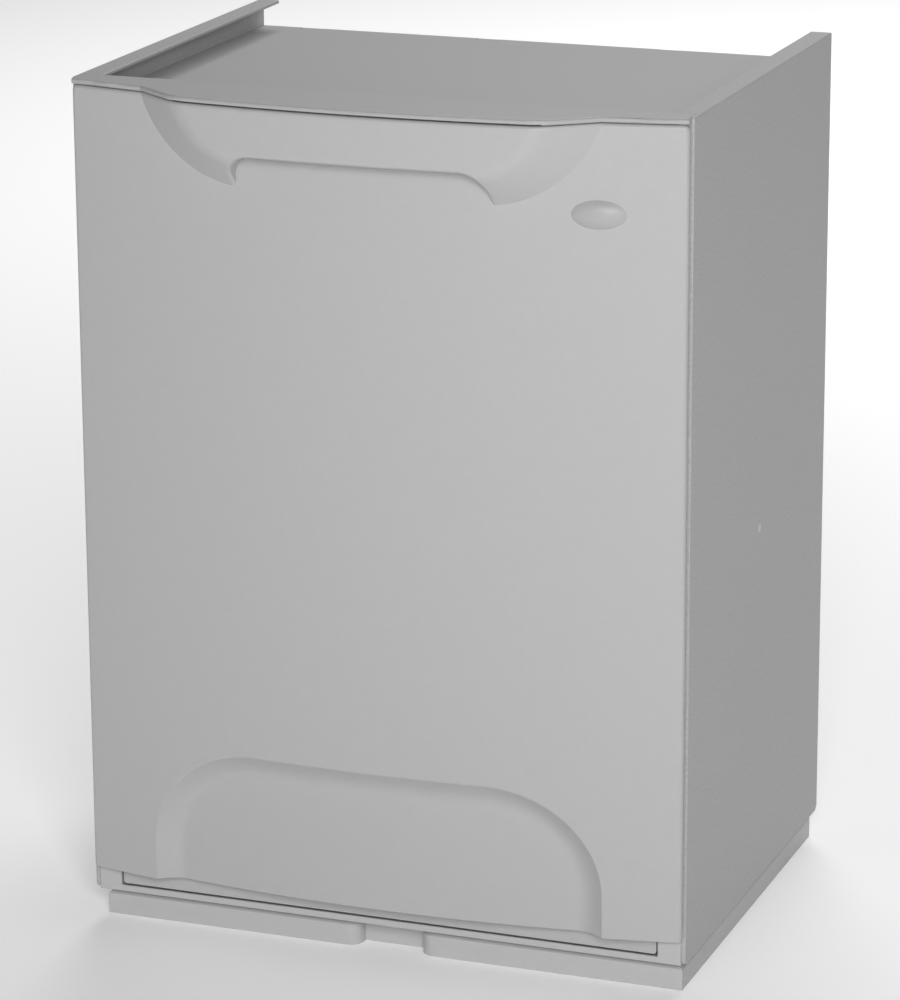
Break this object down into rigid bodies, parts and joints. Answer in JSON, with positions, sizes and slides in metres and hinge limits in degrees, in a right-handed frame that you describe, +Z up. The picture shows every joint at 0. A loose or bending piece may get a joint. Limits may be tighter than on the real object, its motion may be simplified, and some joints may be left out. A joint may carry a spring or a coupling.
{
  "type": "tilt-out waste bin",
  "caption": "Stackable household waste bin: an open box cabinet whose bowed front tilts out on hinge pins and carries a lifting bag ring.",
  "frame": {"origin": "on the floor under the middle of the overall width and depth", "axes": "+X to the right seen from the front, +Y from the front to the rear, +Z up"},
  "size_m": [0.34, 0.29, 0.47],
  "materials": {
    "cabinet_plastic": "fine moulded grain, light grey",
    "door_plastic": "satin, light grey",
    "inner_plastic": "plain moulded, mid grey",
    "plug_plastic": "satin, pale grey",
    "bearing_plastic": "slippery natural white",
    "screw_steel": "zinc plated"
  },
  "bodies": {
    "cabinet": {"left_side_panel": "cabinet_plastic", "right_side_panel": "cabinet_plastic", "top_cover": "cabinet_plastic", "back_panel": "cabinet_plastic", "base_tray": "cabinet_plastic", "left_side_plug": "plug_plastic", "right_side_plug": "plug_plastic", "left_hinge_bush": "bearing_plastic", "right_hinge_bush": "bearing_plastic", "left_stop_block": "bearing_plastic", "right_stop_block": "bearing_plastic", "back_screws": "screw_steel", "base_screws": "screw_steel"},
    "door": {"door_face": "door_plastic", "door_frame": "door_plastic", "left_cheek": "inner_plastic", "right_cheek": "inner_plastic", "left_hinge_pin": "bearing_plastic", "right_hinge_pin": "bearing_plastic", "oval_badge": "door_plastic", "cheek_screws": "screw_steel", "frame_screws": "screw_steel"},
    "bag_ring": {"bag_ring": "inner_plastic", "left_ring_pin": "bearing_plastic", "right_ring_pin": "bearing_plastic"}
  },
  "joints": [
    {"name": "door_tilt", "type": "hinge", "parent": "cabinet", "child": "door", "pos_m": [0, -0.101, 0.027], "axis": [1, 0, 0], "range_deg": [0, 30]},
    {"name": "bag_ring_lift", "type": "hinge", "parent": "door", "child": "bag_ring", "pos_m": [0, -0.08, 0.37], "axis": [1, 0, 0], "range_deg": [0, 24]}
  ]
}
